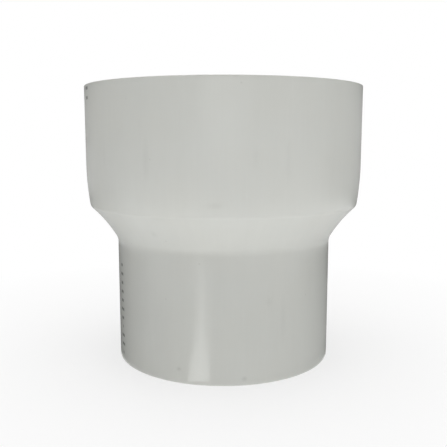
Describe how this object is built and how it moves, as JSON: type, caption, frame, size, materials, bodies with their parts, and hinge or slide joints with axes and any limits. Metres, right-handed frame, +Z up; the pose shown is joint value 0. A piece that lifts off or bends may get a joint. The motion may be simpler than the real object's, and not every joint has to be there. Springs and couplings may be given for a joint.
{
  "type": "pipe reducer",
  "caption": "Rigid plastic pipe reducer in one piece: a wide socket above narrows through a rounded shoulder and a hollow-sided cone to a plain spigot below.",
  "frame": {"origin": "centre of the spigot's cut end, on the surface that the reducer stands on", "axes": "+Z up along the pipe's axis, from the spigot to the socket's mouth; -Y faces the viewer"},
  "size_m": [0.1146, 0.1146, 0.1127],
  "materials": {
    "pvc": "pale warm grey rigid PVC with the soft satin of extruded pipe"
  },
  "bodies": {
    "root": {"reducer": "pvc"}
  },
  "joints": []
}
